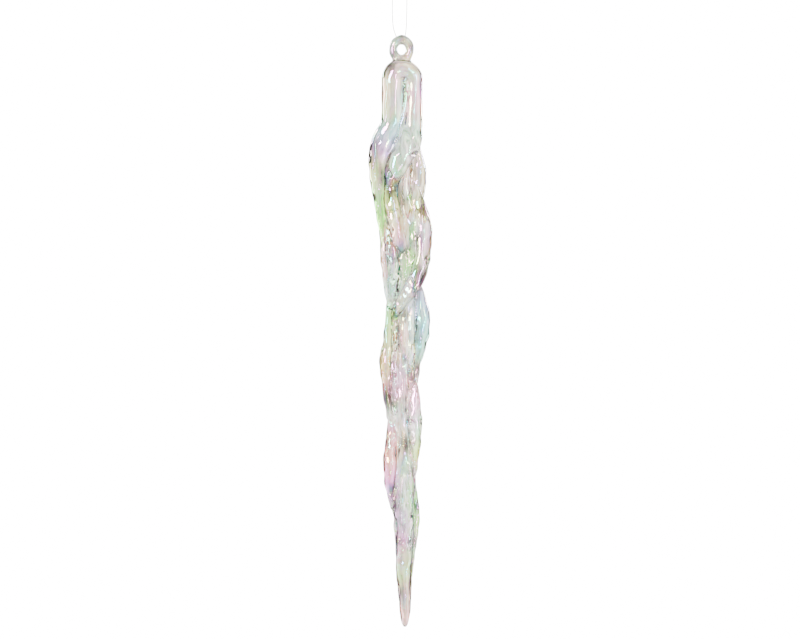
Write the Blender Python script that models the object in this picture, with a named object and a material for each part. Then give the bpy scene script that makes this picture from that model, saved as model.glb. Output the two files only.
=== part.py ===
"""Icicle hanging ornament: drawn, twisted glass strands on a ring, hung from a clear thread loop.

The frame's origin is the knot that the loop hangs from. X is to the right, Y is away from the
viewer and Z is up. Strand routes are (across, behind, below the ring's bore top, radius), in mm.
"""
import math

import bmesh
import bpy
from mathutils import Vector

MM = 0.001
PART_NAME = "icicle_hanging_ornament"

BORE_DROP = 52.0          # knot centre down to the top of the ring's bore
GAP = 0.3                 # clearance cut between neighbouring strands
SAMPLE_STEP = 3.2         # spacing of the cross sections along a strand
TUBE_RESOLUTION = 3       # bevel resolution of a strand, giving a round section

RING_CENTRE = (0.3, 0.0, 2.2)
RING_BORE_WIDTH = 3.9
RING_BORE_HEIGHT = 5.2
RING_TUBE = 3.1           # radial thickness of the ring's glass
RING_DEPTH = 5.6          # thickness of the ring front to back
RING_SEGMENTS = 28
RING_SECTION_SIDES = 12

THREAD_DIAMETER = 0.4
THREAD_STEP = 1.2
THREAD_RESOLUTION = 2
KNOT_LENGTH = 2.6
KNOT_DIAMETER = 1.5
TAIL_LENGTH = 5.0

GLASS_IOR = 1.5
THREAD_IOR = 1.53

# name: (tint, route points). Listed from the strand that keeps its full shape to the one cut most.
STRANDS = {
    "crown_fold": ((0.80, 0.79, 0.72), [
        (0.3, 0.0, 5.4, 2.9), (0.3, 0.0, 7.0, 4.3), (0.3, 0.0, 9.4, 6.5), (0.4, 0.0, 12.4, 7.9),
        (0.4, 0.0, 15.6, 8.5)]),
    "crossing_strand": ((0.78, 0.74, 0.80), [
        (5.2, 0.4, 56.5, 0.9), (6.6, -0.6, 62.0, 2.7), (8.1, -1.4, 69.0, 3.8),
        (9.0, -2.0, 77.0, 3.9), (8.6, -3.0, 86.0, 3.6), (7.0, -4.2, 93.5, 3.6),
        (4.0, -5.0, 100.0, 3.4), (0.2, -4.8, 105.5, 2.7), (-2.4, -4.0, 110.0, 1.8),
        (-3.2, -3.6, 114.0, 0.8)]),
    "right_leg": ((0.80, 0.80, 0.74), [
        (5.4, 0.0, 16.0, 3.65), (5.3, 0.0, 21.0, 3.75), (5.0, -0.8, 31.0, 4.0),
        (3.5, -2.0, 39.5, 4.9), (-0.3, -3.2, 47.0, 4.8), (-2.8, -3.5, 53.0, 4.1),
        (-3.9, -2.4, 58.5, 3.0), (-3.8, -3.2, 64.0, 3.6), (-2.7, -3.4, 70.5, 3.9),
        (-1.3, -3.8, 76.5, 3.3), (-0.1, -3.9, 80.8, 2.6), (0.4, -3.8, 83.2, 1.6)]),
    "left_leg": ((0.78, 0.82, 0.72), [
        (-2.9, 0.0, 16.0, 4.85), (-3.0, 0.0, 21.0, 4.95), (-3.4, 0.5, 31.0, 4.6),
        (-7.0, 1.8, 39.5, 5.0), (-8.8, 2.6, 48.0, 4.8), (-8.7, 3.0, 56.0, 4.0),
        (-8.4, 3.0, 64.0, 2.9), (-7.2, 2.8, 73.0, 2.3), (-5.9, 2.2, 84.0, 2.5),
        (-5.2, 2.0, 93.0, 2.6), (-4.5, 2.2, 101.0, 2.1), (-4.2, 2.2, 107.0, 1.1)]),
    "right_upper_leaf": ((0.72, 0.79, 0.80), [
        (8.1, 0.2, 98.5, 0.8), (8.3, -0.2, 104.0, 2.5), (8.9, -0.4, 110.0, 3.3),
        (8.7, -0.4, 117.0, 3.3), (7.5, -0.2, 124.0, 2.7), (6.4, 0.2, 130.0, 1.8),
        (5.9, 0.5, 136.0, 1.4), (5.5, 0.6, 142.0, 0.8)]),
    "right_lower_leaf": ((0.74, 0.80, 0.70), [
        (4.9, -0.8, 134.0, 1.1), (5.3, -1.8, 140.0, 2.1), (5.6, -2.4, 147.0, 3.0),
        (5.6, -2.6, 155.0, 3.4), (5.8, -2.2, 162.0, 2.6), (6.0, -1.6, 168.0, 1.6),
        (5.3, -1.0, 174.0, 1.1), (4.8, -0.6, 179.0, 0.7)]),
    "shoulder_strand": ((0.80, 0.78, 0.72), [
        (5.0, -0.2, 30.0, 1.0), (5.0, 0.8, 36.5, 2.4), (5.5, 2.2, 43.5, 3.3),
        (6.9, 2.8, 50.0, 4.0), (7.0, 3.0, 57.0, 3.5), (6.0, 3.6, 65.0, 2.9), (5.0, 3.8, 75.0, 2.9),
        (3.8, 3.8, 86.0, 2.9), (2.0, 3.8, 96.0, 2.6), (0.4, 3.6, 105.0, 1.8),
        (-0.6, 3.4, 110.0, 0.9)]),
    "rose_strand": ((0.84, 0.74, 0.78), [
        (4.4, -2.0, 45.5, 0.9), (2.9, -1.8, 51.0, 1.8), (2.2, -1.5, 58.0, 2.1),
        (3.0, -1.6, 65.0, 2.2), (4.3, -1.7, 73.0, 2.2), (4.6, -1.7, 81.0, 2.3),
        (4.4, -1.4, 89.0, 2.3), (3.6, -0.6, 97.0, 1.7), (2.8, 0.2, 103.0, 0.9)]),
    "blue_strand": ((0.76, 0.78, 0.84), [
        (-5.4, -1.2, 70.0, 0.9), (-5.2, -2.0, 76.0, 2.0), (-3.8, -2.7, 84.0, 2.8),
        (-2.7, -2.9, 92.0, 3.1), (-2.8, -1.8, 100.0, 2.8), (-3.0, 0.2, 107.0, 1.6),
        (-3.0, 0.8, 110.0, 0.8)]),
    "green_strand": ((0.66, 0.80, 0.62), [
        (0.9, -1.0, 81.0, 0.9), (1.3, -1.8, 86.0, 2.1), (1.4, -2.0, 92.0, 2.4),
        (1.2, -1.2, 98.0, 1.9), (1.0, -0.4, 103.0, 0.9)]),
    "left_lower_strand": ((0.80, 0.78, 0.62), [
        (-4.6, 0.6, 102.0, 1.0), (-4.8, 0.0, 110.0, 1.8), (-5.1, -0.4, 119.0, 2.0),
        (-5.9, -1.4, 126.0, 2.6), (-6.1, -1.6, 131.0, 2.7), (-5.4, -1.6, 138.0, 2.4),
        (-4.9, -1.4, 145.0, 2.1), (-4.7, -1.0, 151.5, 1.3)]),
    "middle_drop": ((0.80, 0.72, 0.80), [
        (-1.8, -3.6, 112.0, 0.8), (-2.0, -4.0, 118.0, 1.6), (-2.4, -3.9, 127.0, 1.8),
        (-2.6, -3.9, 136.0, 2.0), (-2.4, -3.9, 143.0, 1.7), (-2.1, -3.6, 150.0, 0.7)]),
    "inner_drop": ((0.84, 0.72, 0.74), [
        (2.0, -3.2, 108.0, 0.8), (1.4, -3.9, 112.0, 1.5), (1.2, -4.1, 118.0, 1.7),
        (1.3, -4.0, 123.0, 1.5), (1.3, -3.7, 127.0, 0.7)]),
    "centre_strand": ((0.76, 0.80, 0.78), [
        (4.4, -2.6, 107.0, 0.8), (4.3, -3.2, 113.0, 1.4), (4.3, -3.4, 121.0, 1.6),
        (4.2, -3.3, 129.0, 1.7), (4.1, -3.2, 136.0, 1.7), (3.8, -2.8, 140.5, 0.8)]),
    "grey_strand": ((0.80, 0.77, 0.77), [
        (0.2, -2.8, 129.0, 0.8), (0.3, -3.6, 136.0, 1.5), (0.5, -3.7, 147.0, 1.7),
        (1.0, -3.5, 157.0, 1.5), (1.4, -3.0, 165.0, 0.8)]),
    "left_lower_swell": ((0.84, 0.68, 0.76), [
        (-3.6, -0.4, 152.0, 1.7), (-3.6, -1.4, 159.0, 2.5), (-4.3, -1.8, 166.0, 3.1),
        (-4.3, -1.9, 173.0, 3.0), (-4.4, -1.7, 179.0, 2.4), (-4.0, -1.0, 185.0, 1.2),
        (-3.6, -0.4, 188.5, 0.7)]),
    "thin_right_strand": ((0.76, 0.80, 0.70), [
        (4.5, 0.4, 170.0, 0.8), (5.0, 0.3, 176.0, 1.1), (5.7, 0.1, 183.0, 1.25),
        (6.3, 0.0, 190.0, 1.4), (6.2, 0.0, 197.0, 1.3), (5.5, 0.1, 203.0, 1.1),
        (4.7, 0.3, 210.0, 0.9), (3.9, 0.3, 217.0, 0.6)]),
    "magenta_strand": ((0.82, 0.66, 0.80), [
        (0.8, -2.9, 174.0, 0.7), (1.2, -3.6, 182.0, 1.5), (1.1, -3.6, 192.0, 1.7),
        (0.9, -3.2, 201.0, 1.2), (1.1, -2.9, 206.0, 0.6)]),
    "low_green_strand": ((0.70, 0.80, 0.68), [
        (3.4, -2.4, 168.0, 0.7), (3.9, -3.0, 178.0, 1.4), (4.0, -2.9, 190.0, 1.6),
        (3.7, -2.6, 202.0, 1.4), (3.2, -2.0, 212.0, 0.7)]),
    "core_spike": ((0.78, 0.77, 0.77), [
        (1.9, 0.0, 19.0, 1.0), (1.8, -0.4, 26.0, 2.1), (1.4, -0.2, 33.0, 3.0),
        (0.8, 1.2, 41.0, 3.7), (0.2, 2.2, 49.0, 3.6), (0.4, 2.2, 57.0, 3.8), (0.4, 2.0, 66.0, 3.8),
        (0.7, 1.6, 78.0, 3.8), (0.9, 1.6, 90.0, 4.2), (1.8, 1.3, 100.0, 5.0),
        (2.0, 1.0, 109.0, 5.0), (1.3, 0.8, 120.0, 5.0), (1.0, 0.5, 132.0, 4.9),
        (0.7, 0.4, 145.0, 4.8), (1.2, 0.2, 158.0, 4.3), (1.5, 0.1, 172.0, 4.3),
        (0.9, 0.0, 186.0, 4.6), (1.1, 0.0, 193.0, 4.3), (1.3, 0.0, 200.0, 3.9),
        (1.3, 0.0, 208.0, 3.8), (1.4, 0.0, 215.0, 3.4), (1.6, 0.0, 222.0, 2.9),
        (1.75, 0.0, 229.0, 2.4), (1.7, 0.0, 233.6, 1.85), (1.7, 0.0, 235.5, 1.3)]),
}

CROWN_FLATTEN = 0.54      # front-to-back share of the crown fold's width

FRONT_RUN = [(-0.35, -0.25, -50.3), (-2.2, -0.9, -38.0), (-3.2, -2.0, -26.0), (-3.4, -2.9, -17.0),
             (-3.3, -3.3, -11.0)]
BACK_RUN = [(0.35, 0.25, -50.3), (1.9, 0.9, -38.0), (2.5, 2.0, -26.0), (2.5, 2.9, -17.0),
            (2.4, 3.3, -11.0)]
BIGHT = [(-3.3, -3.35, -10.6), (-3.0, -3.4, -6.5), (-2.0, -3.4, -3.2), (-0.9, -2.9, -1.0),
         (-0.1, -1.6, -0.1), (0.3, 0.0, 0.12), (0.7, 1.6, -0.1), (1.2, 2.9, -1.0),
         (1.7, 3.4, -3.2), (2.2, 3.4, -6.5), (2.4, 3.35, -10.6)]
KNOT_PROFILE = [(-0.5, 0.2), (-0.4, 0.42), (-0.15, 0.5), (0.15, 0.5), (0.4, 0.42), (0.5, 0.2)]


def clear_scene():
    """Remove whatever the file opened with."""
    for obj in list(bpy.data.objects):
        bpy.data.objects.remove(obj, do_unlink=True)


def make_collection(name):
    """Make a collection in the scene."""
    collection = bpy.data.collections.new(name)
    bpy.context.scene.collection.children.link(collection)
    return collection


def make_material(name, colour, ior, roughness):
    """Clear tinted dielectric."""
    material = bpy.data.materials.new(name)
    material.use_nodes = True
    shader = material.node_tree.nodes["Principled BSDF"]
    shader.inputs["Base Color"].default_value = (*colour, 1.0)
    shader.inputs["Roughness"].default_value = roughness
    shader.inputs["IOR"].default_value = ior
    shader.inputs["Transmission Weight"].default_value = 1.0
    return material


def place(across, behind, below):
    """Point in metres from millimetres measured off the top of the ring's bore."""
    return Vector((across, behind, -(BORE_DROP + below))) * MM


def smooth_route(rows, step):
    """Evenly eased samples through hand-placed rows, as 4-vectors."""
    points = [Vector(row) for row in rows]
    ghosts = [points[0] * 2 - points[1]] + points + [points[-1] * 2 - points[-2]]
    samples = []
    for index in range(1, len(ghosts) - 2):
        before, start, end, after = ghosts[index - 1:index + 3]
        count = max(2, round((end - start).length / step))
        handle_a = start + (end - before) / 6
        handle_b = end - (after - start) / 6
        piece = [bezier(start, handle_a, handle_b, end, i / count) for i in range(count)]
        samples.extend(piece)
    samples.append(points[-1])
    return samples


def bezier(start, handle_a, handle_b, end, t):
    """Point at t on a cubic, in any number of dimensions."""
    s = 1 - t
    return start * s ** 3 + handle_a * 3 * s * s * t + handle_b * 3 * s * t * t + end * t ** 3


def mesh_from(obj):
    """Closed mesh of an evaluated object."""
    depsgraph = bpy.context.evaluated_depsgraph_get()
    mesh = bpy.data.meshes.new_from_object(obj.evaluated_get(depsgraph))
    work = bmesh.new()
    work.from_mesh(mesh)
    bmesh.ops.remove_doubles(work, verts=work.verts, dist=1e-6)
    bmesh.ops.recalc_face_normals(work, faces=work.faces)
    work.to_mesh(mesh)
    work.free()
    return mesh


def swept_tube(name, samples, radii, resolution, collection):
    """Closed tube along the samples, its radius set at each."""
    curve = bpy.data.curves.new(name + "_route", "CURVE")
    curve.dimensions = "3D"
    curve.bevel_depth = 1.0
    curve.bevel_resolution = resolution
    curve.use_fill_caps = True
    curve.twist_mode = "MINIMUM"
    spline = curve.splines.new("POLY")
    spline.points.add(len(samples) - 1)
    for point, at, radius in zip(spline.points, samples, radii):
        point.co = (*at, 1.0)
        point.radius = radius
    route = bpy.data.objects.new(name + "_route", curve)
    bpy.context.scene.collection.objects.link(route)
    bpy.context.view_layer.update()
    mesh = mesh_from(route)
    bpy.data.objects.remove(route, do_unlink=True)
    bpy.data.curves.remove(curve)
    mesh.name = name
    obj = bpy.data.objects.new(name, mesh)
    collection.objects.link(obj)
    return obj


def make_strand(name, rows, grow, collection):
    """One drawn glass strand, or its grown copy for cutting."""
    samples = smooth_route(rows, SAMPLE_STEP)
    spots = [place(s[0], s[1], s[2]) for s in samples]
    radii = [(s[3] + grow) * MM for s in samples]
    if grow:
        spots[0] += (spots[0] - spots[1]).normalized() * grow * MM
        spots[-1] += (spots[-1] - spots[-2]).normalized() * grow * MM
    strand = swept_tube(name, spots, radii, TUBE_RESOLUTION, collection)
    if name.endswith("crown_fold"):
        for vert in strand.data.vertices:
            vert.co.y *= CROWN_FLATTEN
    return strand


def make_ring(name, grow, collection):
    """Oval glass ring whose bore faces the viewer."""
    rx = RING_BORE_WIDTH / 2 + RING_TUBE / 2
    rz = RING_BORE_HEIGHT / 2 + RING_TUBE / 2
    centre = place(*RING_CENTRE)
    work = bmesh.new()
    loops = []
    for i in range(RING_SEGMENTS):
        turn = math.tau * i / RING_SEGMENTS
        out = Vector((math.cos(turn), 0.0, math.sin(turn)))
        mid = centre + Vector((rx * out.x, 0.0, rz * out.z)) * MM
        loop = []
        for j in range(RING_SECTION_SIDES):
            around = math.tau * j / RING_SECTION_SIDES
            across = (RING_TUBE / 2 + grow) * math.cos(around)
            deep = (RING_DEPTH / 2 + grow) * math.sin(around)
            loop.append(work.verts.new(mid + (out * across + Vector((0.0, deep, 0.0))) * MM))
        loops.append(loop)
    for i in range(RING_SEGMENTS):
        ahead = loops[(i + 1) % RING_SEGMENTS]
        for j in range(RING_SECTION_SIDES):
            k = (j + 1) % RING_SECTION_SIDES
            work.faces.new((loops[i][j], loops[i][k], ahead[k], ahead[j]))
    bmesh.ops.recalc_face_normals(work, faces=work.faces)
    mesh = bpy.data.meshes.new(name)
    work.to_mesh(mesh)
    work.free()
    obj = bpy.data.objects.new(name, mesh)
    collection.objects.link(obj)
    return obj


def cut_away(obj, cutters):
    """Subtract the cutters, then keep the largest body that is left."""
    if not cutters:
        return
    for cutter in cutters:
        modifier = obj.modifiers.new("clear_" + cutter.name, "BOOLEAN")
        modifier.operation = "DIFFERENCE"
        modifier.solver = "EXACT"
        modifier.object = cutter
    mesh = mesh_from(obj)
    obj.modifiers.clear()
    obj.data = mesh
    keep_largest(mesh)


def keep_largest(mesh):
    """Drop the slivers that a cut leaves beside the main body."""
    work = bmesh.new()
    work.from_mesh(mesh)
    bmesh.ops.dissolve_degenerate(work, dist=2e-6, edges=work.edges)
    work.verts.ensure_lookup_table()
    seen = set()
    islands = []
    for vert in work.verts:
        if vert.index in seen:
            continue
        island = []
        stack = [vert]
        seen.add(vert.index)
        while stack:
            current = stack.pop()
            island.append(current)
            for edge in current.link_edges:
                other = edge.other_vert(current)
                if other.index not in seen:
                    seen.add(other.index)
                    stack.append(other)
        islands.append(island)
    islands.sort(key=len, reverse=True)
    for island in islands[1:]:
        bmesh.ops.delete(work, geom=island, context="VERTS")
    bmesh.ops.triangulate(work, faces=work.faces)
    bmesh.ops.recalc_face_normals(work, faces=work.faces)
    work.to_mesh(mesh)
    work.free()


def boxes_meet(a, b):
    """Whether two objects' bounding boxes touch."""
    lows = []
    highs = []
    for obj in (a, b):
        corners = [Vector(corner) for corner in obj.bound_box]
        lows.append([min(c[i] for c in corners) for i in range(3)])
        highs.append([max(c[i] for c in corners) for i in range(3)])
    return all(lows[0][i] <= highs[1][i] and lows[1][i] <= highs[0][i] for i in range(3))


def build_icicle(parts, cutters):
    """The ring and the strands, each clear of those listed before it."""
    glass = make_material("ring_glass", (0.80, 0.80, 0.78), GLASS_IOR, 0.02)
    ring = make_ring("hanging_ring", 0.0, parts)
    ring.data.materials.append(glass)
    grown = [make_ring("cut_hanging_ring", GAP, cutters)]
    for name, (tint, rows) in STRANDS.items():
        strand = make_strand(name, rows, 0.0, parts)
        cut_away(strand, [cutter for cutter in grown if boxes_meet(strand, cutter)])
        strand.data.materials.append(make_material(name + "_glass", tint, GLASS_IOR, 0.02))
        grown.append(make_strand("cut_" + name, rows, GAP, cutters))


def build_thread(parts):
    """The two runs, the bight through the ring, and the knot that closes the loop."""
    thread = make_material("clear_thread", (0.86, 0.86, 0.86), THREAD_IOR, 0.15)
    radius = THREAD_DIAMETER / 2
    for name, rows in (("thread_run_front", FRONT_RUN), ("thread_run_back", BACK_RUN),
                       ("thread_bight", BIGHT)):
        samples = smooth_route(rows, THREAD_STEP)
        spots = [place(*sample) for sample in samples]
        obj = swept_tube(name, spots, [radius * MM] * len(spots), THREAD_RESOLUTION, parts)
        obj.data.materials.append(thread)
    spots = [Vector((0.0, 0.0, along * KNOT_LENGTH)) * MM for along, _ in KNOT_PROFILE]
    radii = [share * KNOT_DIAMETER * MM for _, share in KNOT_PROFILE]
    knot = swept_tube("loop_knot", spots, radii, TUBE_RESOLUTION, parts)
    knot.data.materials.append(thread)
    for name, side in (("knot_tail_left", -1), ("knot_tail_right", 1)):
        start = KNOT_LENGTH / 2 + GAP
        rows = [(side * 0.25, 0.0, start), (side * 0.9, side * 0.2, start + TAIL_LENGTH * 0.5),
                (side * 1.8, side * 0.3, start + TAIL_LENGTH)]
        samples = smooth_route(rows, THREAD_STEP)
        spots = [Vector(sample) * MM for sample in samples]
        tail = swept_tube(name, spots, [radius * MM] * len(spots), THREAD_RESOLUTION, parts)
        tail.data.materials.append(thread)


def main():
    """Build the whole ornament."""
    clear_scene()
    parts = make_collection(PART_NAME)
    cutters = make_collection("cutters")
    build_icicle(parts, cutters)
    build_thread(parts)
    for cutter in list(cutters.objects):
        cutter.hide_render = True
        cutter.display_type = "WIRE"


main()
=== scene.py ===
"""Looks of the icicle hanging ornament: fused, iridescent drawn glass on a clear thread loop."""
import math

import bmesh
import bpy
import numpy as np
import openvdb
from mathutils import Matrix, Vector


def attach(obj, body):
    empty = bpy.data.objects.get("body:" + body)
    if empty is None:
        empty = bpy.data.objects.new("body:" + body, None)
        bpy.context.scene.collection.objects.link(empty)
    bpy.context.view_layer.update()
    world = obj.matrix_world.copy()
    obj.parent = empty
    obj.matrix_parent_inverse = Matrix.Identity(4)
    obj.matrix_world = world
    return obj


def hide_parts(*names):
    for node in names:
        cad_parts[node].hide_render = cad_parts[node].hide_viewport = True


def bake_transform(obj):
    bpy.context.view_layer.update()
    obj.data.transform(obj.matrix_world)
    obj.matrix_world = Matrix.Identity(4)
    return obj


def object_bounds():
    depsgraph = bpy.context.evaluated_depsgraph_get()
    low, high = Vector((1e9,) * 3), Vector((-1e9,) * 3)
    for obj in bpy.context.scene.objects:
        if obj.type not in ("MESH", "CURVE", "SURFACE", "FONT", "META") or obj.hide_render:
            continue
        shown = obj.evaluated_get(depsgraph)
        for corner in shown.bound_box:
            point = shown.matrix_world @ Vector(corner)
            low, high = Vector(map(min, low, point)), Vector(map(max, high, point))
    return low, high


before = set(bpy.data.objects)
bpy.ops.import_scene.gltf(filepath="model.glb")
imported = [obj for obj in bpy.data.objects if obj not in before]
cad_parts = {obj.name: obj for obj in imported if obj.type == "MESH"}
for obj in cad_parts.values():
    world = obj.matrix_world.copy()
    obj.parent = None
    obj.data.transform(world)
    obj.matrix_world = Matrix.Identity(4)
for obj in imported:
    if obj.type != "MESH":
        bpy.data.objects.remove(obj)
cad_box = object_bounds()

MM = 0.001
BORE_DROP = 52.0            # knot centre down to the top of the ring's bore, in mm

# How the strands are fused into one body of glass, in mm
GRID_LOW = (-15.0, -10.0, -5.6)     # corners of the cells: across, behind and below
GRID_HIGH = (15.0, 10.0, 238.4)
CELL = 0.28                 # size of the cells
FAR = 9.0                   # stands for any distance well outside the glass
CREASE = 0.4                # how wide the melted crease between two strands is
LEG_CREASE = 2.4            # the same between the two legs at the crown
LEG_CREASE_EASE = (31.0, 41.0)      # levels between which it narrows to the plain crease
NECK_CREASE = 1.3           # and between the ring and the crown
POLISH_FACTOR = 0.5         # how far each pass of the fire polish evens out the surface
POLISH_PASSES = 8

# How one strand is drawn
SAMPLE_STEP = 0.8           # between samples along a route, in mm
PLAIN_TOP = 12.0            # how far down the legs stay plain round rods, in mm
BEADS = [(0.018, 0.42, 1.0), (0.012, 0.93, 2.1)]    # share of the radius, turn per mm, start
LOBE_TURN = 0.05            # how much the lobes turn per mm of level
FLUTES = 7                  # fine drawn flutes round a strand
FLUTE = 0.035               # their depth, in mm
FLUTE_TURN = 0.16           # how much they turn per mm of level
FLUTE_WANDER = (1.3, 0.21)  # how far they wander to and fro, and how fast per mm
START_STEP = 1.7            # from one strand's starting turn to the next one's

RING_CENTRE = (0.3, 0.0, 2.2)
RING_RADII = (3.4, 4.0)     # middle of the ring's glass, across and up
RING_SECTION = (1.85, 2.2)  # half thickness, radially and front to back

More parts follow.
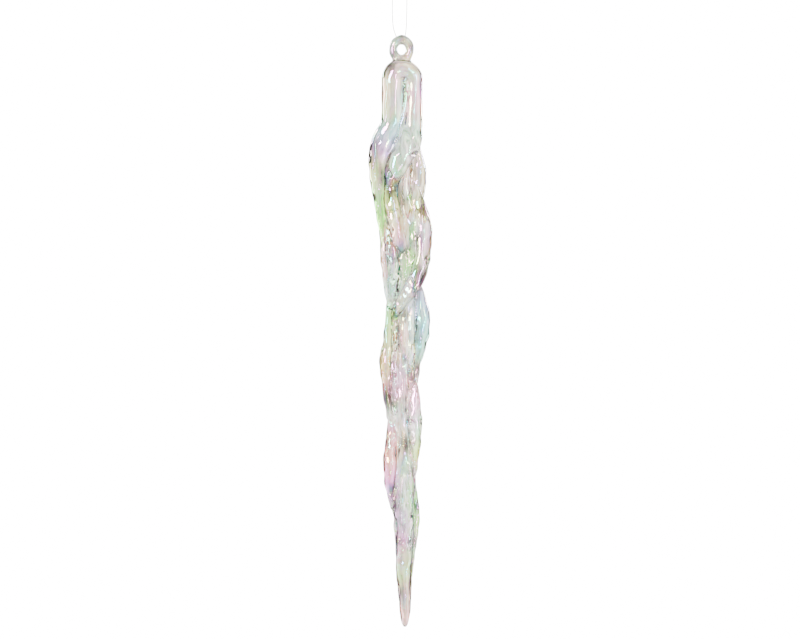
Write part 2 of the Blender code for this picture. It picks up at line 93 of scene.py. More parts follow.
# Strand routes as in the CAD, with the two legs run on up into the crown's fold. Each has rows of
# (across, behind, below the bore's top, radius), in mm, then the section's front-to-back share,
# the lobes round the section and how deep they are.
STRANDS = {
    "crossing_strand": ([
        (5.2, 0.4, 56.5, 0.9), (6.6, -0.6, 62.0, 2.7), (8.1, -1.4, 69.0, 3.8),
        (9.0, -2.0, 77.0, 3.9), (8.6, -3.0, 86.0, 3.6), (7.0, -4.2, 93.5, 3.6),
        (4.0, -5.0, 100.0, 3.4), (0.2, -4.8, 105.5, 2.7), (-2.4, -4.0, 110.0, 1.8),
        (-3.2, -3.6, 114.0, 0.8)],
        0.92, 3, 0.07),
    "right_leg": ([
        (5.4, 0.0, 14.5, 3.65), (5.3, 0.0, 21.0, 3.75), (5.0, -0.8, 31.0, 4.0),
        (3.5, -2.0, 39.5, 4.9), (-0.3, -3.2, 47.0, 4.8), (-2.8, -3.5, 53.0, 4.1),
        (-3.9, -2.4, 58.5, 3.0), (-3.8, -3.2, 64.0, 3.6), (-2.7, -3.4, 70.5, 3.9),
        (-1.3, -3.8, 76.5, 3.3), (-0.1, -3.9, 80.8, 2.6), (0.4, -3.8, 83.2, 1.6)],
        1.0, 2, 0.05),
    "left_leg": ([
        (-2.9, 0.0, 14.5, 4.85), (-3.0, 0.0, 21.0, 4.95), (-3.4, 0.5, 31.0, 4.6),
        (-7.0, 1.8, 39.5, 5.0), (-8.8, 2.6, 48.0, 4.8), (-8.7, 3.0, 56.0, 4.0),
        (-8.4, 3.0, 64.0, 2.9), (-7.2, 2.8, 73.0, 2.3), (-5.9, 2.2, 84.0, 2.5),
        (-5.2, 2.0, 93.0, 2.6), (-4.5, 2.2, 101.0, 2.1), (-4.2, 2.2, 107.0, 1.1)],
        1.0, 2, 0.05),
    "right_upper_leaf": ([
        (8.1, 0.2, 98.5, 0.8), (8.3, -0.2, 104.0, 2.5), (8.9, -0.4, 110.0, 3.3),
        (8.7, -0.4, 117.0, 3.3), (7.5, -0.2, 124.0, 2.7), (6.4, 0.2, 130.0, 1.8),
        (5.9, 0.5, 136.0, 1.4), (5.5, 0.6, 142.0, 0.8)],
        0.95, 2, 0.05),
    "right_lower_leaf": ([
        (4.9, -0.8, 134.0, 1.1), (5.3, -1.8, 140.0, 2.1), (5.6, -2.4, 147.0, 3.0),
        (5.6, -2.6, 155.0, 3.4), (5.8, -2.2, 162.0, 2.6), (6.0, -1.6, 168.0, 1.6),
        (5.3, -1.0, 174.0, 1.1), (4.8, -0.6, 179.0, 0.7)],
        0.95, 2, 0.05),
    "shoulder_strand": ([
        (5.0, -0.2, 30.0, 1.0), (5.0, 0.8, 36.5, 2.4), (5.5, 2.2, 43.5, 3.3),
        (6.9, 2.8, 50.0, 4.0), (7.0, 3.0, 57.0, 3.5), (6.0, 3.6, 65.0, 2.9), (5.0, 3.8, 75.0, 2.9),
        (3.8, 3.8, 86.0, 2.9), (2.0, 3.8, 96.0, 2.6), (0.4, 3.6, 105.0, 1.8),
        (-0.6, 3.4, 110.0, 0.9)],
        1.0, 3, 0.08),
    "rose_strand": ([
        (4.4, -2.0, 45.5, 0.9), (2.9, -1.8, 51.0, 1.8), (2.2, -1.5, 58.0, 2.1),
        (3.0, -1.6, 65.0, 2.2), (4.3, -1.7, 73.0, 2.2), (4.6, -1.7, 81.0, 2.3),
        (4.4, -1.4, 89.0, 2.3), (3.6, -0.6, 97.0, 1.7), (2.8, 0.2, 103.0, 0.9)],
        1.0, 3, 0.1),
    "blue_strand": ([
        (-5.4, -1.2, 70.0, 0.9), (-5.2, -2.0, 76.0, 2.0), (-3.8, -2.7, 84.0, 2.8),
        (-2.7, -2.9, 92.0, 3.1), (-2.8, -1.8, 100.0, 2.8), (-3.0, 0.2, 107.0, 1.6),
        (-3.0, 0.8, 110.0, 0.8)],
        1.0, 2, 0.05),
    "green_strand": ([
        (0.9, -1.0, 81.0, 0.9), (1.3, -1.8, 86.0, 2.1), (1.4, -2.0, 92.0, 2.4),
        (1.2, -1.2, 98.0, 1.9), (1.0, -0.4, 103.0, 0.9)],
        1.0, 3, 0.08),
    "left_lower_strand": ([
        (-4.6, 0.6, 102.0, 1.0), (-4.8, 0.0, 110.0, 1.8), (-5.1, -0.4, 119.0, 2.0),
        (-5.9, -1.4, 126.0, 2.6), (-6.1, -1.6, 131.0, 2.7), (-5.4, -1.6, 138.0, 2.4),
        (-4.9, -1.4, 145.0, 2.1), (-4.7, -1.0, 151.5, 1.3)],
        1.0, 3, 0.06),
    "middle_drop": ([
        (-1.8, -3.6, 112.0, 0.8), (-2.0, -4.0, 118.0, 1.6), (-2.4, -3.9, 127.0, 1.8),
        (-2.6, -3.9, 136.0, 2.0), (-2.4, -3.9, 143.0, 1.7), (-2.1, -3.6, 150.0, 0.7)],
        1.0, 2, 0.05),
    "inner_drop": ([
        (2.0, -3.2, 108.0, 0.8), (1.4, -3.9, 112.0, 1.5), (1.2, -4.1, 118.0, 1.7),
        (1.3, -4.0, 123.0, 1.5), (1.3, -3.7, 127.0, 0.7)],
        1.0, 2, 0.05),
    "centre_strand": ([
        (4.4, -2.6, 107.0, 0.8), (4.3, -3.2, 113.0, 1.4), (4.3, -3.4, 121.0, 1.6),
        (4.2, -3.3, 129.0, 1.7), (4.1, -3.2, 136.0, 1.7), (3.8, -2.8, 140.5, 0.8)],
        1.0, 2, 0.05),
    "grey_strand": ([
        (0.2, -2.8, 129.0, 0.8), (0.3, -3.6, 136.0, 1.5), (0.5, -3.7, 147.0, 1.7),
        (1.0, -3.5, 157.0, 1.5), (1.4, -3.0, 165.0, 0.8)],
        1.0, 2, 0.05),
    "left_lower_swell": ([
        (-3.6, -0.4, 152.0, 1.7), (-3.6, -1.4, 159.0, 2.5), (-4.3, -1.8, 166.0, 3.1),
        (-4.3, -1.9, 173.0, 3.0), (-4.4, -1.7, 179.0, 2.4), (-4.0, -1.0, 185.0, 1.2),
        (-3.6, -0.4, 188.5, 0.7)],
        1.0, 2, 0.05),
    "thin_right_strand": ([
        (4.5, 0.4, 170.0, 0.8), (5.0, 0.3, 176.0, 1.1), (5.7, 0.1, 183.0, 1.25),
        (6.3, 0.0, 190.0, 1.4), (6.2, 0.0, 197.0, 1.3), (5.5, 0.1, 203.0, 1.1),
        (4.7, 0.3, 210.0, 0.9), (3.9, 0.3, 217.0, 0.6)],
        1.0, 2, 0.05),
    "magenta_strand": ([
        (0.8, -2.9, 174.0, 0.7), (1.2, -3.6, 182.0, 1.5), (1.1, -3.6, 192.0, 1.7),
        (0.9, -3.2, 201.0, 1.2), (1.1, -2.9, 206.0, 0.6)],
        1.0, 2, 0.05),
    "low_green_strand": ([
        (3.4, -2.4, 168.0, 0.7), (3.9, -3.0, 178.0, 1.4), (4.0, -2.9, 190.0, 1.6),
        (3.7, -2.6, 202.0, 1.4), (3.2, -2.0, 212.0, 0.7)],
        1.0, 2, 0.05),
    "core_spike": ([
        (1.9, 0.0, 19.0, 1.0), (1.8, -0.4, 26.0, 2.1), (1.4, -0.2, 33.0, 3.0),
        (0.8, 1.2, 41.0, 3.7), (0.2, 2.2, 49.0, 3.6), (0.4, 2.2, 57.0, 3.8), (0.4, 2.0, 66.0, 3.8),
        (0.7, 1.6, 78.0, 3.8), (0.9, 1.6, 90.0, 4.2), (1.8, 1.3, 100.0, 5.0),
        (2.0, 1.0, 109.0, 5.0), (1.3, 0.8, 120.0, 5.0), (1.0, 0.5, 132.0, 4.9),
        (0.7, 0.4, 145.0, 4.8), (1.2, 0.2, 158.0, 4.3), (1.5, 0.1, 172.0, 4.3),
        (0.9, 0.0, 186.0, 4.6), (1.1, 0.0, 193.0, 4.3), (1.3, 0.0, 200.0, 3.9),
        (1.3, 0.0, 208.0, 3.8), (1.4, 0.0, 215.0, 3.4), (1.6, 0.0, 222.0, 2.9),
        (1.75, 0.0, 229.0, 2.4), (1.7, 0.0, 233.6, 1.85), (1.7, 0.0, 235.5, 1.3)],
        0.95, 4, 0.05),
}

# The crown's fold, a half turn from the left leg over to the right one, in mm
FOLD_CENTRE = (1.25, 14.5)  # across and below
FOLD_BEND = 4.15            # radius of the turn
FOLD_TUBE = 4.25            # radius of the glass along it
FOLD_TAPER = 0.6            # how much stouter the fold is on the left, thinner on the right

# Height of the slow swells the hot glass was left with: (below, height), in mm
SWELLS = [(-4.0, 0.10), (14.0, 0.05), (44.0, 0.07), (54.0, 0.13), (106.0, 0.14), (120.0, 0.17),
          (195.0, 0.16), (236.0, 0.04)]
# Their waves: (per mm across, behind, below, start)
SWELL_WAVES = [(0.9, 0.4, 0.35, 0.3), (-0.7, 0.8, 0.52, 1.9), (0.3, -1.1, 0.71, 4.0),
               (1.4, 0.6, -0.44, 2.6), (-0.4, 0.5, 1.15, 5.2)]
SWELL_CREST = 2.2           # what the waves add up to at a usual crest

# Iridescent tints by place, from the ring down: (across, behind, below, reach in mm, colour)
PALE = (0.93, 0.92, 0.87)   # the glass where no tint reaches
PALE_SHARE = 0.15           # how much of it is blended in everywhere
TINT_STRENGTH = 5.0         # power each tint is raised to
TINT_SPREAD = (1.0, 0.45, 0.7)      # a tint fades slower towards the back and up or down
TINTS = [
    (4.0, -2.0, 0.0, 3.0, (0.90, 0.92, 0.86)), (-3.5, -2.0, 3.0, 3.0, (0.84, 0.94, 0.88)),
    (2.0, -3.0, 6.5, 3.0, (0.95, 0.90, 0.76)), (-1.0, -4.0, 11.0, 4.0, (0.97, 0.86, 0.93)),
    (-5.5, -4.0, 13.0, 4.0, (0.93, 0.95, 0.80)), (3.0, -4.0, 14.0, 3.5, (0.88, 0.95, 0.80)),
    (-5.5, -4.0, 19.0, 4.0, (0.98, 0.90, 0.80)), (6.5, -4.0, 19.0, 3.5, (1.00, 0.82, 0.95)),
    (-1.5, -4.0, 22.0, 3.0, (0.80, 0.90, 0.95)), (0.4, -4.0, 23.0, 2.0, (0.72, 0.95, 0.74)),
    (4.0, -4.0, 25.0, 4.0, (0.97, 0.87, 0.86)), (-6.0, -4.0, 28.5, 3.0, (0.92, 0.95, 0.72)),
    (-5.5, -4.0, 34.0, 4.0, (0.68, 0.90, 0.86)), (4.5, -5.0, 36.0, 4.0, (0.88, 0.96, 0.90)),
    (-5.0, -4.0, 39.5, 4.0, (0.84, 0.84, 0.97)), (-7.8, -2.0, 44.0, 3.0, (0.97, 0.78, 0.97)),
    (3.5, -4.0, 47.0, 3.0, (0.97, 0.88, 0.95)), (-1.0, -8.0, 49.0, 3.6, (0.72, 0.96, 0.74)),
    (-10.0, -1.0, 50.0, 3.5, (0.93, 0.96, 0.72)), (9.0, 0.0, 50.0, 4.0, (0.94, 0.92, 0.82)),
    (-6.0, -6.0, 53.0, 2.5, (0.70, 0.98, 0.86)), (4.0, -3.0, 54.0, 3.0, (0.98, 0.84, 0.86)),
    (-5.5, -5.0, 62.0, 3.5, (0.90, 0.93, 0.66)), (-9.5, 2.0, 66.0, 4.5, (0.72, 0.98, 0.50)),
    (9.0, -4.0, 66.0, 4.0, (0.92, 0.93, 0.80)), (-2.0, -5.0, 68.0, 3.5, (0.95, 0.90, 0.78)),
    (-8.0, 2.0, 73.0, 4.0, (0.74, 0.97, 0.50)), (0.8, -5.0, 75.0, 3.0, (1.00, 0.84, 0.74)),
    (-5.0, -5.0, 77.0, 3.0, (1.00, 0.82, 0.84)), (4.5, -4.0, 77.0, 2.5, (0.72, 0.97, 0.78)),
    (11.0, -4.0, 78.0, 4.0, (0.93, 0.88, 0.92)), (0.5, -5.0, 80.0, 2.5, (0.96, 0.84, 0.92)),
    (10.5, -5.0, 83.0, 3.0, (1.00, 0.88, 0.92)), (5.5, -3.0, 89.0, 3.6, (0.64, 0.95, 0.40)),
    (-3.0, -4.5, 90.0, 3.5, (0.86, 0.89, 0.98)), (-6.5, 2.0, 90.0, 3.5, (0.95, 0.84, 0.74)),
    (9.0, -5.0, 90.0, 3.5, (0.95, 0.88, 0.92)), (1.0, -4.0, 92.0, 3.5, (0.76, 0.95, 0.60)),
    (3.5, -8.0, 97.0, 3.0, (0.97, 0.84, 0.97)), (-2.5, -3.5, 98.0, 3.5, (0.76, 0.93, 0.88)),
    (6.5, -7.0, 98.0, 2.5, (0.98, 0.80, 0.84)), (0.0, -7.0, 104.0, 3.0, (0.90, 0.90, 0.78)),
    (9.5, -3.0, 107.0, 4.0, (0.82, 0.88, 0.97)), (-5.0, -2.0, 114.0, 4.0, (0.80, 0.97, 0.68)),
    (9.0, -3.0, 115.0, 4.5, (0.78, 0.93, 0.93)), (-1.5, -4.0, 118.0, 3.5, (1.00, 0.82, 0.84)),
    (1.4, -4.5, 118.0, 3.0, (1.00, 0.84, 0.86)), (4.5, -4.0, 120.0, 3.0, (0.84, 0.93, 0.93)),
    (8.5, -3.0, 122.0, 4.0, (0.80, 0.94, 0.88)), (-5.8, -2.0, 122.0, 3.5, (0.93, 0.96, 0.80)),
    (-6.0, -3.0, 128.5, 3.0, (0.98, 0.88, 0.70)), (-7.0, -2.0, 134.0, 3.0, (0.93, 0.90, 0.52)),
    (-2.5, -4.0, 136.0, 3.4, (0.93, 0.84, 0.94)), (4.0, -4.0, 138.5, 3.0, (1.00, 0.86, 0.90)),
    (-0.5, -4.0, 140.0, 2.5, (0.98, 0.78, 0.86)), (-6.0, -2.0, 141.0, 3.5, (1.00, 0.72, 0.76)),
    (-2.3, -4.0, 145.0, 3.0, (0.82, 0.93, 0.88)), (1.2, -4.0, 145.0, 3.0, (0.96, 0.88, 0.90)),
    (5.2, -4.0, 147.0, 3.0, (0.98, 0.84, 0.92)), (5.0, -4.5, 155.0, 3.0, (0.88, 0.88, 0.97)),
    (8.3, -1.0, 156.0, 4.0, (0.76, 0.96, 0.72)), (-3.0, -4.0, 159.0, 3.0, (1.00, 0.76, 0.88)),
    (1.5, -4.0, 160.0, 4.0, (0.92, 0.94, 0.89)), (-2.5, -4.0, 165.0, 2.5, (1.00, 0.78, 0.82)),
    (7.4, -1.0, 166.0, 3.5, (0.92, 0.97, 0.66)), (-6.4, -2.0, 167.0, 3.0, (1.00, 0.76, 0.68)),
    (3.0, -4.0, 172.0, 3.0, (0.80, 0.92, 0.86)), (-6.0, -3.0, 175.0, 4.0, (1.00, 0.76, 0.90)),
    (-3.5, -4.0, 180.0, 3.0, (0.93, 0.78, 0.98)), (1.4, -4.0, 183.0, 2.4, (0.95, 0.82, 0.93)),
    (4.2, -3.0, 184.0, 3.6, (0.74, 0.95, 0.66)), (0.8, -4.0, 193.0, 3.4, (0.95, 0.68, 0.97)),
    (3.9, -3.0, 194.0, 3.6, (0.76, 0.95, 0.74)), (6.8, 0.0, 194.0, 2.5, (0.86, 0.95, 0.68)),
    (0.6, -3.5, 200.0, 2.5, (0.98, 0.66, 0.94)), (-1.8, -2.0, 204.0, 3.0, (0.97, 0.80, 0.93)),
    (3.2, -3.0, 206.0, 2.5, (0.68, 0.95, 0.78)), (1.4, -3.5, 207.0, 2.5, (1.00, 0.70, 0.84)),
    (3.4, -3.0, 212.0, 3.0, (0.88, 0.95, 0.74)), (1.0, -3.0, 217.0, 3.0, (0.88, 0.97, 0.76)),
    (3.6, -2.0, 221.0, 3.0, (1.00, 0.82, 0.88)), (0.6, -2.5, 226.0, 3.5, (0.84, 0.92, 0.84)),
    (2.8, -1.0, 231.0, 3.5, (1.00, 0.84, 0.86)),
]

# Painted shade: dark patches painted into the glass's colour where its creases, crossings and edges
# show dark, from the ring down: (across, behind, below, reach in mm, depth)
PAINTED_SHADE_REACH = 1.3           # factor on every reach
PAINTED_SHADE_STRENGTH = 2.4        # power each patch of painted shade is raised to
PAINTED_SHADE_SPREAD = (1.0, 0.3, 0.5)      # as for the tints, slower still
PAINTED_SHADE = [
    (0.4, -1.0, -2.6, 1.2, 0.45), (4.8, -1.0, 1.6, 1.0, 0.7), (-3.4, -1.0, 3.0, 1.3, 0.5),
    (-4.3, -2.0, 9.3, 1.6, 0.7), (2.3, -2.0, 18.0, 1.0, 0.6), (2.5, -2.0, 22.5, 1.0, 0.6),
    (-1.8, -5.0, 32.5, 0.8, 0.4), (-3.2, -5.0, 39.0, 0.8, 0.6), (-11.2, 0.0, 41.5, 1.5, 0.6),
    (-10.6, 0.0, 44.5, 1.2, 0.5), (-5.0, -5.0, 45.0, 0.9, 0.6), (-12.0, 2.0, 48.0, 1.4, 0.75),
    (-6.4, -5.0, 50.0, 0.9, 0.6), (-8.0, -1.0, 51.8, 1.0, 0.7), (5.0, -2.0, 52.0, 1.3, 0.6),
    (-5.6, -5.0, 54.8, 1.4, 0.75), (-7.6, -1.0, 55.0, 1.0, 0.6), (-3.4, -6.0, 56.5, 1.2, 0.7),
    (-1.6, -5.5, 57.5, 1.3, 0.6), (-4.0, -5.0, 60.0, 1.1, 0.7), (-0.4, -5.0, 61.0, 1.1, 0.75),
    (1.2, -4.0, 64.5, 1.4, 0.75), (9.2, -2.0, 66.0, 1.6, 0.6), (7.0, -5.0, 80.5, 1.4, 0.85),
    (0.0, -5.0, 84.0, 1.4, 0.7), (2.2, -4.0, 84.4, 1.0, 0.6), (7.2, -6.0, 93.0, 1.3, 0.6),
    (8.6, -4.0, 95.5, 1.3, 0.7), (2.0, -7.0, 96.2, 0.9, 0.4), (5.9, -4.0, 101.0, 1.4, 0.65),
    (-0.9, -6.0, 101.6, 1.0, 0.25), (5.4, -6.0, 103.0, 1.1, 0.6), (-2.8, -5.0, 105.5, 1.2, 0.25),
    (-0.2, -5.0, 109.6, 1.1, 0.5), (2.0, -4.0, 110.4, 1.2, 0.6), (6.4, -3.0, 114.5, 1.1, 0.5),
    (-0.6, -3.0, 117.0, 0.9, 0.6), (6.4, -3.0, 119.5, 1.1, 0.5), (-0.9, -3.0, 122.0, 0.9, 0.6),
    (1.7, -4.0, 127.8, 1.0, 0.65), (-3.0, -3.0, 129.5, 1.1, 0.6), (7.0, -1.0, 131.5, 1.2, 0.7),
    (4.3, -3.5, 134.3, 1.3, 0.75), (3.0, -4.0, 139.5, 0.7, 0.7), (-3.7, -3.5, 141.5, 1.1, 0.6),
    (-5.5, -2.0, 143.5, 1.6, 0.7), (2.2, -4.0, 144.0, 0.7, 0.75), (-2.6, -3.5, 146.0, 1.2, 0.75),
    (2.0, -4.0, 148.5, 0.7, 0.75), (2.6, -4.0, 153.0, 0.7, 0.75), (3.6, -4.0, 157.0, 0.7, 0.65),
    (-5.0, -3.0, 162.0, 0.9, 0.6), (2.0, -4.0, 162.5, 1.5, 0.8), (4.6, -3.5, 173.0, 1.0, 0.5),
    (-3.0, -4.0, 180.5, 1.1, 0.85), (-2.6, -4.0, 184.6, 1.2, 0.85), (6.8, 0.0, 187.3, 0.8, 0.8),
    (-2.4, -3.0, 189.0, 1.0, 0.7), (-2.2, -3.0, 193.0, 0.8, 0.5), (-0.3, -3.0, 201.5, 1.0, 0.5),
    (5.6, -1.0, 202.0, 1.0, 0.5), (0.0, -2.0, 223.0, 1.5, 0.45),
]

# Thread routes from the bore up to the knot, in mm: (across, behind, below). They follow the CAD's
# bight and runs without the gaps between them.
THREAD_DIAMETER = 0.0004
THREAD_SIDES = 10
THREAD_FRONT = [(0.3, 0.0, 0.12), (-0.1, -1.6, -0.1), (-0.9, -2.9, -1.0), (-2.0, -3.4, -3.2),
                (-3.0, -3.4, -6.5), (-3.35, -3.3, -11.0), (-3.4, -2.9, -17.0), (-3.2, -2.0, -26.0),
                (-2.2, -0.9, -38.0), (-0.35, -0.25, -50.9)]
THREAD_BACK = [(0.3, 0.0, 0.12), (0.7, 1.6, -0.1), (1.2, 2.9, -1.0), (1.7, 3.4, -3.2),
               (2.2, 3.4, -6.5), (2.4, 3.3, -11.0), (2.5, 2.9, -17.0), (2.5, 2.0, -26.0),
               (1.9, 0.9, -38.0), (0.35, 0.25, -50.9)]

# Colours of the thin film by the noise that drifts over the glass: (position, colour)
FILM_STOPS = [(0.30, (0.80, 0.95, 0.90)), (0.42, (0.93, 0.86, 0.98)), (0.52, (1.0, 0.97, 0.95)),
              (0.62, (1.0, 0.86, 0.90)), (0.72, (0.96, 0.98, 0.80))]
FILM_SHARE = 0.35           # how much of those colours shows
FILM_THICKNESS = (220.0, 620.0)     # in nanometres
DRAWN_OUT = (1.0, 1.0, 0.25)        # every pattern in the glass is stretched along it

PHOTO_WIDTH, PHOTO_HEIGHT = 800, 639
VIEW_HEIGHT = 0.2594        # what the frame takes in at the ornament
VIEW_DROP = 0.1096          # the frame's middle below the ring's middle
VIEW_SIDE = -0.0006         # the frame's middle across from the ring's middle
LENS = 135.0
SENSOR = 36.0

FLOOR_RADIUS = 2.0
FLOOR_DROP = 0.52           # below the ornament's tip

ROOM_LIGHT = 5.5            # what the glass gathers from the room
CEILING_SHARE = 0.15        # share of it left straight up and down
CEILING_FADE = (0.28, 0.75)  # how steeply up or down the room starts and ends to darken
BACKDROP_LIGHT = 18.0       # what the eye sees behind the ornament
ROOM_TINT = (1.0, 0.985, 0.92)
ROOM_BEHIND_VIEWER = (0.7, 0.7, 0.7)
# Brightness of the room by degrees from straight behind the ornament, left to right
ROOM_PANELS = [(-140, 0.70), (-126, 0.10), (-108, 0.15), (-98, 0.95), (-84, 0.60), (-76, 0.03),
               (-56, 0.01), (-46, 0.04), (-38, 0.14), (-31, 0.38), (-26, 0.34), (-19, 0.78),
               (-14, 0.68), (-8, 0.34), (0, 0.40), (7, 0.28), (13, 0.50), (18, 0.42), (23, 0.28),
               (28, 0.64), (33, 0.32), (39, 0.10), (48, 0.02), (72, 0.01), (80, 0.30), (90, 0.90),
               (104, 0.70), (112, 0.10), (130, 0.12), (142, 0.75)]
# Soft boxes: name, place and size in metres, power in watts
LIGHTS = [
    ("key", (-0.75, -1.1, 0.3), (0.42, 0.46), 110.0),
    ("strip_right", (0.62, -1.15, -0.05), (0.08, 0.8), 28.0),
    ("strip_left", (-1.15, -0.55, -0.1), (0.08, 0.5), 9.0),
    ("low", (-0.3, -1.2, -0.85), (0.36, 0.2), 26.0),
    ("rim_left", (-0.9, 0.9, 0.3), (0.2, 0.3), 20.0),
    ("rim_right", (0.9, 1.0, 0.1), (0.2, 0.3), 20.0),
]


def place(across, behind, below):
    """Point in metres from millimetres measured off the top of the ring's bore."""
    return Vector((across, behind, -(BORE_DROP + below))) * MM


def smooth_route(rows, step):
    """Evenly eased samples through given rows."""
    points = [Vector(row) for row in rows]
    ghosts = [points[0] * 2 - points[1]] + points + [points[-1] * 2 - points[-2]]
    samples = []
    for index in range(1, len(ghosts) - 2):
        before, start, end, after = ghosts[index - 1:index + 3]
        count = max(2, round((end - start).length / step))
        handle_a = start + (end - before) / 6
        handle_b = end - (after - start) / 6
        for i in range(count):
            t = i / count
            s = 1 - t
            samples.append(start * s ** 3 + handle_a * 3 * s * s * t + handle_b * 3 * s * t * t
                           + end * t ** 3)
    samples.append(points[-1])
    return samples


def new_object(name, data):
    """Link new data to the scene as an object."""
    obj = bpy.data.objects.new(name, data)
    bpy.context.scene.collection.objects.link(obj)
    return obj


def skin_tube(work, loops):
    """Skin rings of vertices into a tube with flat ends."""
    for ring, ahead in zip(loops, loops[1:]):
        for j in range(len(ring)):
            k = (j + 1) % len(ring)
            work.faces.new((ring[j], ring[k], ahead[k], ahead[j]))
    work.faces.new(reversed(loops[0]))
    work.faces.new(loops[-1])


def cell_grid():
    """Cell centres round the glass: across, behind and below, in millimetres."""
    return [np.arange(low, high, CELL) for low, high in zip(GRID_LOW, GRID_HIGH)]


def strand_field(grid, rows, share, lobes, depth, start, open_top):
    """Cells' levels that a drawn strand spans, and distance from it: lobed, turning and beaded."""
    across, behind, below = grid
    route = np.array([tuple(sample) for sample in smooth_route(rows, SAMPLE_STEP)])
    reach = route[:, 3]
    first = route[0, 2] - (0.0 if open_top else reach[0])
    last = route[-1, 2] + reach[-1]
    inside = np.where((below >= first) & (below <= last))[0]
    level = below[inside]
    x, y, r = (np.interp(level, route[:, 2], route[:, i]) for i in (0, 1, 3))
    lean_x = np.gradient(x, level)
    lean_y = np.gradient(y, level)
    plain = np.clip((level - first) / PLAIN_TOP, 0.0, 1.0) if open_top else 1.0
    if not open_top:
        r *= np.sqrt(np.clip((level - first) / reach[0], 0.02, 1.0))
    r *= np.sqrt(np.clip((last - level) / reach[-1], 0.02, 1.0))
    r *= 1 + plain * sum(height * np.sin(level * turn + own * start) for height, turn, own in BEADS)
    dx = (across[:, None, None] - x) / np.sqrt(1 + lean_x ** 2)
    dy = (behind[None, :, None] - y) / np.sqrt(1 + lean_y ** 2) / share
    angle = np.arctan2(dy, dx)
    lobe = 1 - plain * depth * (1 - np.cos(lobes * (angle + level * LOBE_TURN) + start))
    far, fast = FLUTE_WANDER
    wander = far * np.sin(fast * level + start)
    flute = plain * FLUTE * np.cos(FLUTES * angle + FLUTE_TURN * level + wander)
    field = (np.sqrt(dx ** 2 + dy ** 2) - r * lobe - flute) * min(share, 1.0)
    return inside, field


def melt(field, other, width):
    """Union of two distance fields with a melted crease."""
    near = np.clip(width - np.abs(field - other), 0, None) / width
    return np.minimum(field, other) - near ** 2 * width * 0.25


def ring_field(grid):
    """Distance from the oval hanging ring."""
    across, behind, below = np.ix_(*grid)
    rx, rz = RING_RADII
    oval = np.sqrt(((across - RING_CENTRE[0]) / rx) ** 2 + ((below - RING_CENTRE[2]) / rz) ** 2)
    off = (oval - 1) * (rx + rz) / 2
    thin, deep = RING_SECTION
    return (np.sqrt((off / thin) ** 2 + (behind / deep) ** 2) - 1) * thin


def fold_field(grid):
    """Distance from the half turn that joins the two legs at the crown."""
    across, behind, below = np.ix_(*grid)
    bend = np.sqrt((across - FOLD_CENTRE[0]) ** 2 + (below - FOLD_CENTRE[1]) ** 2) - FOLD_BEND
    lean = np.clip((across - FOLD_CENTRE[0]) / FOLD_BEND, -1.0, 1.0)
    field = np.sqrt(bend ** 2 + behind ** 2) - FOLD_TUBE + FOLD_TAPER * lean
    return np.where(below <= FOLD_CENTRE[1], field, FAR)


def swell_field(grid):
    """Slow uneven swells over the whole surface."""
    across, behind, below = np.ix_(*grid)
    total = sum(np.sin(a * across + b * behind + c * below + start)
                for a, b, c, start in SWELL_WAVES)
    height = np.interp(below, *zip(*SWELLS))
    return (total * height / SWELL_CREST).astype(np.float32)


def glass_field(grid):
    """Distance from the crown, the ring and every strand, melted together."""
    body = np.minimum(fold_field(grid), FAR).astype(np.float32)
    body = melt(body, ring_field(grid), NECK_CREASE).astype(np.float32)
    for number, (name, (rows, share, lobes, depth)) in enumerate(STRANDS.items()):
        is_leg = name.endswith("_leg")
        inside, field = strand_field(grid, rows, share, lobes, depth, number * START_STEP, is_leg)
        span = slice(inside[0], inside[-1] + 1)
        width = CREASE
        if is_leg:
            width = np.interp(grid[2][span], LEG_CREASE_EASE, (LEG_CREASE, CREASE))
        body[:, :, span] = melt(body[:, :, span], field, width)
    return body + swell_field(grid)


def skin_field(name, body, grid):
    """Mesh of a distance field's surface, in metres."""
    level_set = openvdb.FloatGrid(FAR)
    level_set.copyFromArray(body)
    points, quads = level_set.convertToQuads()
    points = points * CELL + np.array([axis[0] for axis in grid])
    points[:, 2] = -(points[:, 2] + BORE_DROP)
    mesh = bpy.data.meshes.new(name)
    mesh.from_pydata((points * MM).tolist(), [], quads.tolist())
    return mesh


def keep_outer_shell(mesh):
    """Leave out the closed pockets between the strands, and face the shell outwards."""
    work = bmesh.new()
    work.from_mesh(mesh)
    work.verts.ensure_lookup_table()
    seen = np.zeros(len(work.verts), dtype=bool)
    shells = []
    for vert in work.verts:
        if seen[vert.index]:
            continue
        seen[vert.index] = True
        shell = [vert]
        for current in shell:       # grows as it goes
            for edge in current.link_edges:
                other = edge.other_vert(current)
                if not seen[other.index]:
                    seen[other.index] = True
                    shell.append(other)
        shells.append(shell)
    shells.sort(key=len)
    for shell in shells[:-1]:
        bmesh.ops.delete(work, geom=shell, context="VERTS")
    bmesh.ops.recalc_face_normals(work, faces=work.faces)
    work.to_mesh(mesh)
    work.free()


def fused_glass():
    """Every strand melted into one body of fire-polished glass."""
    grid = cell_grid()
    rough = skin_field("icicle_glass", glass_field(grid), grid)
    keep_outer_shell(rough)
    obj = new_object("icicle_glass", rough)
    polish = obj.modifiers.new("fire_polish", "SMOOTH")
    polish.factor = POLISH_FACTOR
    polish.iterations = POLISH_PASSES
    depsgraph = bpy.context.evaluated_depsgraph_get()
    final = bpy.data.meshes.new_from_object(obj.evaluated_get(depsgraph))
    obj.modifiers.clear()
    obj.data = final
    bpy.data.meshes.remove(rough)
    final.shade_smooth()
    return obj


def closeness(spots, centre, reach, spread):
    """For every spot, 1 at a centre in the glass, easing to 0 beyond a reach in mm."""
    gap = (spots - np.array(place(*centre))) / (reach * MM) * spread
    return np.exp(-(gap ** 2).sum(axis=1))[:, None]


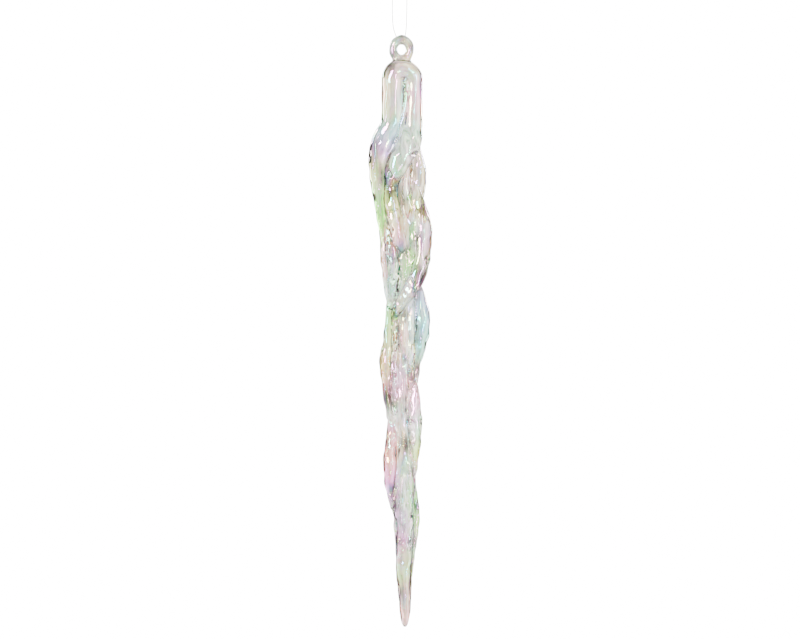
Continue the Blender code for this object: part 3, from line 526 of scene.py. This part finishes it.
def paint_tints_and_shade(obj):
    """Iridescent tints, blended by distance from where each one sits, then painted shade darkening
    them at creases, crossings and edges.
    """
    count = len(obj.data.vertices)
    spots = np.empty(count * 3)
    obj.data.vertices.foreach_get("co", spots)
    spots = spots.reshape(-1, 3)
    colour = np.tile(np.array(PALE) * PALE_SHARE, (count, 1))
    weight = np.full((count, 1), PALE_SHARE)
    for *centre, reach, tint in TINTS:
        share = closeness(spots, centre, reach, TINT_SPREAD)
        colour += share * np.array(tint) ** TINT_STRENGTH
        weight += share
    colour /= weight
    # Painted shade: darken the colour round each listed dark patch
    for *centre, reach, depth in PAINTED_SHADE:
        shade = closeness(spots, centre, reach * PAINTED_SHADE_REACH, PAINTED_SHADE_SPREAD)
        colour *= (1 - depth * shade) ** PAINTED_SHADE_STRENGTH
    # The tint attribute holds the tints with the painted shade multiplied in
    layer = obj.data.color_attributes.new("tint", "FLOAT_COLOR", "POINT")
    rgba = np.column_stack([colour, np.ones(count)]).astype(np.float32)
    layer.data.foreach_set("color", rgba.ravel())


def nodes_of(name):
    """A new node material, its tree and its shader."""
    material = bpy.data.materials.new(name)
    material.use_nodes = True
    tree = material.node_tree
    return material, tree, tree.nodes["Principled BSDF"]


def set_inputs(node, values):
    """Plain values on a node's sockets, by name."""
    for socket, value in values.items():
        node.inputs[socket].default_value = value


def add_noise(tree, scale, detail=2.0, distortion=0.0, along=None):
    """Output of a noise texture."""
    noise = tree.nodes.new("ShaderNodeTexNoise")
    set_inputs(noise, {"Scale": scale, "Detail": detail, "Distortion": distortion})
    if along:
        tree.links.new(along, noise.inputs["Vector"])
    return noise.outputs["Fac"]


def add_range(tree, source, target, found=(0.0, 1.0)):
    """Output of a value mapped from the range it is found in to a target range."""
    spread = tree.nodes.new("ShaderNodeMapRange")
    set_inputs(spread, {"From Min": found[0], "From Max": found[1],
                        "To Min": target[0], "To Max": target[1]})
    tree.links.new(source, spread.inputs["Value"])
    return spread.outputs["Result"]


def add_ramp(tree, source, stops):
    """Colour output of a ramp through (position, colour) stops."""
    ramp = tree.nodes.new("ShaderNodeValToRGB")
    elements = ramp.color_ramp.elements
    for end, (at, colour) in ((0, stops[0]), (1, stops[-1])):
        elements[end].position = at
        elements[end].color = (*colour, 1)
    for at, colour in stops[1:-1]:
        elements.new(at).color = (*colour, 1)
    tree.links.new(source, ramp.inputs["Fac"])
    return ramp.outputs["Color"]


def add_math(tree, operation, *sources):
    """Output of a math node."""
    node = tree.nodes.new("ShaderNodeMath")
    node.operation = operation
    for source, socket in zip(sources, node.inputs):
        tree.links.new(source, socket)
    return node.outputs[0]


def glass_material():
    """Clear glass with a thin iridescent coat and drawn ripples."""
    material, tree, shader = nodes_of("iridescent_glass")
    new = tree.nodes.new
    link = tree.links.new
    where = new("ShaderNodeTexCoord")
    stretch = new("ShaderNodeMapping")
    stretch.inputs["Scale"].default_value = DRAWN_OUT
    link(where.outputs["Object"], stretch.inputs["Vector"])
    drawn = stretch.outputs["Vector"]

    # The tint attribute carries the iridescent tints and the painted shade
    tint = new("ShaderNodeVertexColor")
    tint.layer_name = "tint"
    drift = add_noise(tree, 160.0, 3.0, 0.8, drawn)
    mix = new("ShaderNodeMix")
    mix.data_type = "RGBA"
    mix.blend_type = "MULTIPLY"
    mix.inputs["Factor"].default_value = FILM_SHARE
    link(tint.outputs["Color"], mix.inputs[6])
    link(add_ramp(tree, drift, FILM_STOPS), mix.inputs[7])
    link(mix.outputs[2], shader.inputs["Base Color"])

    bump = new("ShaderNodeBump")
    set_inputs(bump, {"Strength": 0.12, "Distance": 0.0004})
    link(add_noise(tree, 420.0, along=drawn), bump.inputs["Height"])
    link(bump.outputs["Normal"], shader.inputs["Normal"])

    coat = add_noise(tree, 90.0, 1.0, along=drawn)
    link(add_range(tree, coat, FILM_THICKNESS, (0.3, 0.7)), shader.inputs["Thin Film Thickness"])
    set_inputs(shader, {"Roughness": 0.015, "IOR": 1.47, "Transmission Weight": 1.0,
                        "Thin Film IOR": 1.75})
    return material


def thread_material():
    """Clear monofilament with faint drawing marks."""
    material, tree, shader = nodes_of("clear_monofilament")
    marks = add_range(tree, add_noise(tree, 900.0), (0.08, 0.2))
    tree.links.new(marks, shader.inputs["Roughness"])
    set_inputs(shader, {"Base Color": (0.97, 0.97, 0.97, 1), "IOR": 1.4,
                        "Transmission Weight": 1.0})
    return material


def thread_run(name, rows, material):
    """Half of the thread loop, from the bore to the knot, with its middle line and length."""
    spots = [place(*sample) for sample in smooth_route(rows, SAMPLE_STEP)]
    work = bmesh.new()
    loops = []
    side = Vector((1.0, 0.0, 0.0))
    for i, spot in enumerate(spots):
        along = (spots[min(i + 1, len(spots) - 1)] - spots[max(i - 1, 0)]).normalized()
        deep = along.cross(side).normalized()
        side = deep.cross(along).normalized()
        turns = [math.tau * j / THREAD_SIDES for j in range(THREAD_SIDES)]
        loops.append([work.verts.new(spot + (side * math.cos(turn) + deep * math.sin(turn))
                                     * THREAD_DIAMETER / 2) for turn in turns])
    skin_tube(work, loops)
    bmesh.ops.recalc_face_normals(work, faces=work.faces)
    mesh = bpy.data.meshes.new(name)
    work.to_mesh(mesh)
    work.free()
    mesh.shade_smooth()
    mesh.materials.append(material)
    length = sum((b - a).length for a, b in zip(spots, spots[1:]))
    return new_object(name, mesh), spots, length


def build_camera():
    """Level, long lens, framing the ornament as seen in a catalogue."""
    ring = place(*RING_CENTRE)
    width = VIEW_HEIGHT * PHOTO_WIDTH / PHOTO_HEIGHT
    distance = width * LENS / SENSOR
    data = bpy.data.cameras.new("camera")
    data.lens = LENS
    data.sensor_width = SENSOR
    data.clip_end = 30.0
    camera = new_object("camera", data)
    camera.location = (ring.x + VIEW_SIDE, ring.y - distance, ring.z - VIEW_DROP)
    camera.rotation_euler = (math.pi / 2, 0.0, 0.0)
    bpy.context.scene.camera = camera


def build_floor():
    """Pale floor far below the hanging ornament."""
    mesh = bpy.data.meshes.new("floor")
    work = bmesh.new()
    bmesh.ops.create_circle(work, cap_ends=True, segments=96, radius=FLOOR_RADIUS)
    work.to_mesh(mesh)
    work.free()
    floor = new_object("floor", mesh)
    floor.location.z = cad_box[0][2] - FLOOR_DROP
    material, tree, shader = nodes_of("pale_floor")
    grain = add_range(tree, add_noise(tree, 30.0), (0.75, 0.85))
    tree.links.new(grain, shader.inputs["Roughness"])
    shader.inputs["Base Color"].default_value = (0.95, 0.95, 0.95, 1)
    mesh.materials.append(material)


def room_colour(tree, heading):
    """Colour of the room's upright panels by heading."""
    turn = add_math(tree, "ARCTAN2", heading.outputs["X"], heading.outputs["Y"])
    share = add_range(tree, turn, (0.0, 1.0), (-math.pi, math.pi))
    panels = [(0.5 + at / 360, [grey * tint for tint in ROOM_TINT]) for at, grey in ROOM_PANELS]
    return add_ramp(tree, share, [(0.0, ROOM_BEHIND_VIEWER), *panels, (1.0, ROOM_BEHIND_VIEWER)])


def room_strength(tree, heading, where):
    """Strength of the room: cloudy, and darker towards straight up and down."""
    haze = add_range(tree, add_noise(tree, 3.6, 3.0, along=where), (0.4, 1.5), (0.35, 0.65))
    steep = add_math(tree, "ABSOLUTE", heading.outputs["Z"])
    fade = add_range(tree, steep, (ROOM_LIGHT, ROOM_LIGHT * CEILING_SHARE), CEILING_FADE)
    return add_math(tree, "MULTIPLY", haze, fade)


def build_world():
    """White to the eye; what the glass gathers is a soft room with darker upright panels."""
    world = bpy.data.worlds.new("studio")
    bpy.context.scene.world = world
    world.use_nodes = True
    tree = world.node_tree
    tree.nodes.clear()
    new = tree.nodes.new
    link = tree.links.new
    where = new("ShaderNodeTexCoord").outputs["Generated"]
    heading = new("ShaderNodeSeparateXYZ")
    link(where, heading.inputs["Vector"])
    inner = new("ShaderNodeBackground")
    link(room_colour(tree, heading), inner.inputs["Color"])
    link(room_strength(tree, heading, where), inner.inputs["Strength"])
    outer = new("ShaderNodeBackground")
    set_inputs(outer, {"Color": (1, 1, 1, 1), "Strength": BACKDROP_LIGHT})
    path = new("ShaderNodeLightPath")
    mix = new("ShaderNodeMixShader")
    link(path.outputs["Is Camera Ray"], mix.inputs["Fac"])
    link(inner.outputs[0], mix.inputs[1])
    link(outer.outputs[0], mix.inputs[2])
    link(mix.outputs[0], new("ShaderNodeOutputWorld").inputs["Surface"])


def build_lights():
    """Bright soft boxes aimed at the ornament's middle, for crisp glints and long lines."""
    middle = Vector((0.0, 0.0, cad_box[0][2] / 2 + cad_box[1][2] / 2))
    for name, at, size, power in LIGHTS:
        data = bpy.data.lights.new(name, "AREA")
        data.shape = "RECTANGLE"
        data.size, data.size_y = size
        data.energy = power
        light = new_object(name, data)
        light.location = at
        light.rotation_euler = (middle - light.location).to_track_quat("-Z", "Y").to_euler()


build_camera()
build_floor()
build_world()
build_lights()

clear = thread_material()
for side, rows, solids in (("front", THREAD_FRONT, ("thread_run_front", "thread_bight")),
                           ("back", THREAD_BACK, ("thread_run_back",))):
    run, line, length = thread_run("thread_" + side, rows, clear)
    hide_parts(*solids)
    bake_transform(run)

for node in ("loop_knot", "knot_tail_left", "knot_tail_right"):
    solid = bpy.data.objects[node]
    for slot in solid.material_slots:
        slot.material = clear

icicle = fused_glass()
paint_tints_and_shade(icicle)
icicle.data.materials.append(glass_material())
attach(icicle, "icicle")
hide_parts("hanging_ring", "crown_fold", *STRANDS)
